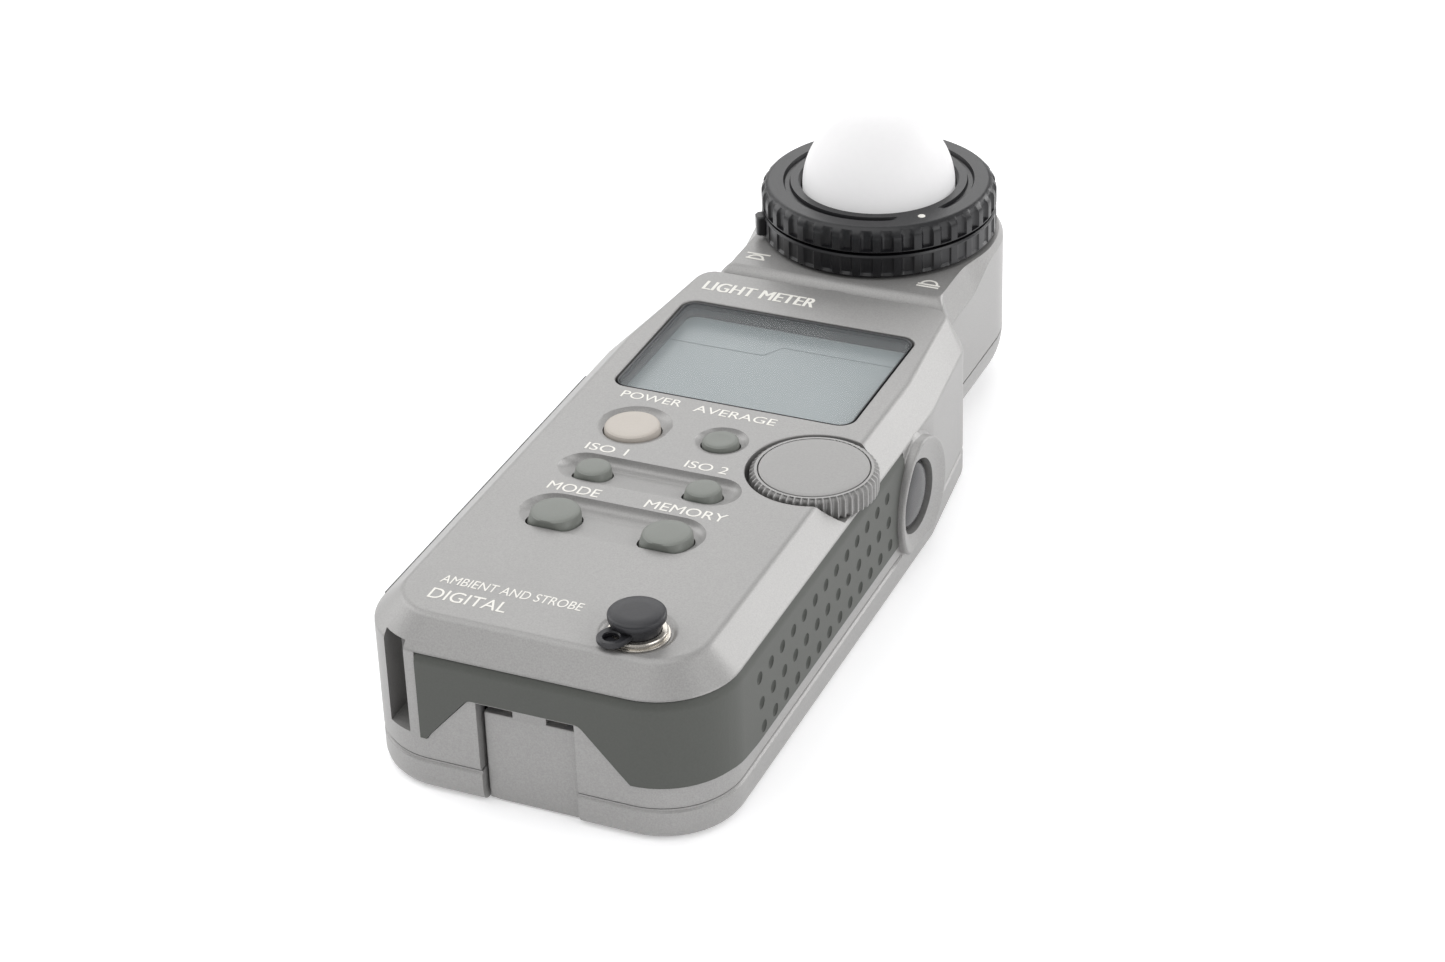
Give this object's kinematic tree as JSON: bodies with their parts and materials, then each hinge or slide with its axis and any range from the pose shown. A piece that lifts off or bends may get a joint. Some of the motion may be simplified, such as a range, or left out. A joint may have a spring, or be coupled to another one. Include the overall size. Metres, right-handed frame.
{
  "type": "handheld light meter",
  "caption": "Handheld light meter with a swivelling sensor head, retractable opal dome, display, keys, setting wheel, side trigger button and battery door.",
  "frame": {"origin": "mouth of the tripod socket, in the middle of the rear face", "axes": "+Y towards the head, +Z out of the front face, +X to the right when the display is read"},
  "size_m": [0.0585, 0.1596, 0.0488],
  "materials": {
    "shell": "fine metallic satin paint",
    "grip_rubber": "moulded, matt",
    "window": "clear acrylic",
    "bezel": "moulded",
    "display": "liquid crystal panel",
    "backlight": "diffuser sheet",
    "connector_rubber": "zebra strip",
    "board": "fibreglass board",
    "switch_metal": "pressed sheet",
    "power_key": "satin",
    "key": "satin",
    "wheel": "satin paint",
    "steel": "turned",
    "black_plastic": "moulded, satin",
    "black_gloss": "polished",
    "contact_metal": "nickel plated",
    "white_plastic": "moulded",
    "brass": "turned",
    "cap_rubber": "matt",
    "cell": "shrink sleeve",
    "diffuser": "opal",
    "sensor_glass": "filter glass"
  },
  "bodies": {
    "body": {"front_shell": "shell", "rear_cover": "shell", "right_grip": "grip_rubber", "left_grip": "grip_rubber", "display_window": "window", "display_bezel": "bezel", "display_panel": "display", "display_backlight": "backlight", "display_connectors": "connector_rubber", "main_board": "board", "button_switches": "switch_metal", "jog_encoder": "black_plastic", "measuring_switch": "black_plastic", "sync_barrel": "contact_metal", "sync_insulator": "white_plastic", "sync_pin": "brass", "cover_hinge_pin": "steel", "battery_box": "black_plastic", "battery": "cell", "battery_spring": "contact_metal", "battery_contact": "contact_metal", "tripod_insert": "brass", "case_screws": "steel"},
    "head": {"head_front": "shell", "head_rear": "shell", "head_screws": "steel", "swivel_tube": "steel", "swivel_nut": "brass", "swivel_washer": "white_plastic", "swivel_collar": "steel", "receptor_sleeve": "black_plastic", "light_sensor": "sensor_glass", "sensor_board": "board"},
    "setting_wheel": {"jog_wheel": "wheel", "jog_inlay": "wheel", "jog_axle": "steel"},
    "receptor": {"dome": "diffuser", "dome_carrier": "black_plastic"},
    "power_button": {"power_button": "power_key"},
    "average_button": {"average_button": "key"},
    "speed_1_button": {"speed_1_button": "key"},
    "speed_2_button": {"speed_2_button": "key"},
    "mode_button": {"mode_button": "key"},
    "memory_button": {"memory_button": "key"},
    "measuring_button": {"measuring_button": "black_gloss"},
    "sync_cap": {"sync_cap": "cap_rubber"},
    "battery_cover": {"battery_cover": "shell"},
    "lock_ring": {"lock_ring": "black_plastic"},
    "retract_ring": {"retract_ring": "black_plastic"}
  },
  "joints": [
    {"name": "head_swivel", "type": "hinge", "parent": "body", "child": "head", "pos_m": [0, 0.0573, 0.0146], "axis": [0, 1, 0], "range_deg": [-90, 180]},
    {"name": "ring_turn", "type": "hinge", "parent": "head", "child": "retract_ring", "pos_m": [0, 0.0813, 0.0345], "axis": [0, 0, -1], "range_deg": [0, 90]},
    {"name": "dome_retract", "type": "slide", "parent": "head", "child": "receptor", "axis": [0, 0, -1], "range_m": [0, 0.012]},
    {"name": "lock_ring_turn", "type": "hinge", "parent": "head", "child": "lock_ring", "pos_m": [0, 0.0813, 0.03], "axis": [0, 0, 1], "range_deg": [0, 25]},
    {"name": "power_button_press", "type": "slide", "parent": "body", "child": "power_button", "axis": [0, 0, -1], "range_m": [0, 0.0006], "stiffness_N_per_m": 900, "springref_m": -0.0005},
    {"name": "average_button_press", "type": "slide", "parent": "body", "child": "average_button", "axis": [0, 0, -1], "range_m": [0, 0.0006], "stiffness_N_per_m": 900, "springref_m": -0.0005},
    {"name": "speed_1_button_press", "type": "slide", "parent": "body", "child": "speed_1_button", "axis": [0, 0, -1], "range_m": [0, 0.0006], "stiffness_N_per_m": 900, "springref_m": -0.0005},
    {"name": "speed_2_button_press", "type": "slide", "parent": "body", "child": "speed_2_button", "axis": [0, 0, -1], "range_m": [0, 0.0006], "stiffness_N_per_m": 900, "springref_m": -0.0005},
    {"name": "mode_button_press", "type": "slide", "parent": "body", "child": "mode_button", "axis": [0, 0, -1], "range_m": [0, 0.0006], "stiffness_N_per_m": 900, "springref_m": -0.0005},
    {"name": "memory_button_press", "type": "slide", "parent": "body", "child": "memory_button", "axis": [0, 0, -1], "range_m": [0, 0.0006], "stiffness_N_per_m": 900, "springref_m": -0.0005},
    {"name": "measuring_button_press", "type": "slide", "parent": "body", "child": "measuring_button", "axis": [-1, 0, 0], "range_m": [0, 0.0006], "stiffness_N_per_m": 900, "springref_m": -0.0005},
    {"name": "setting_wheel_turn", "type": "hinge", "parent": "body", "child": "setting_wheel", "pos_m": [0.0198, 0.0027, 0.026], "axis": [0, 0, 1], "continuous": true},
    {"name": "sync_cap_pull", "type": "slide", "parent": "body", "child": "sync_cap", "axis": [0, 0, 1], "range_m": [0, 0.006]},
    {"name": "battery_cover_hinge", "type": "hinge", "parent": "body", "child": "battery_cover", "pos_m": [0, -0.0168, 0.0021], "axis": [1, 0, 0], "range_deg": [0, 90]}
  ],
  "couplings": [
    {"joint": "dome_retract", "follows": "ring_turn", "m_per_rad": 0.0076394}
  ]
}
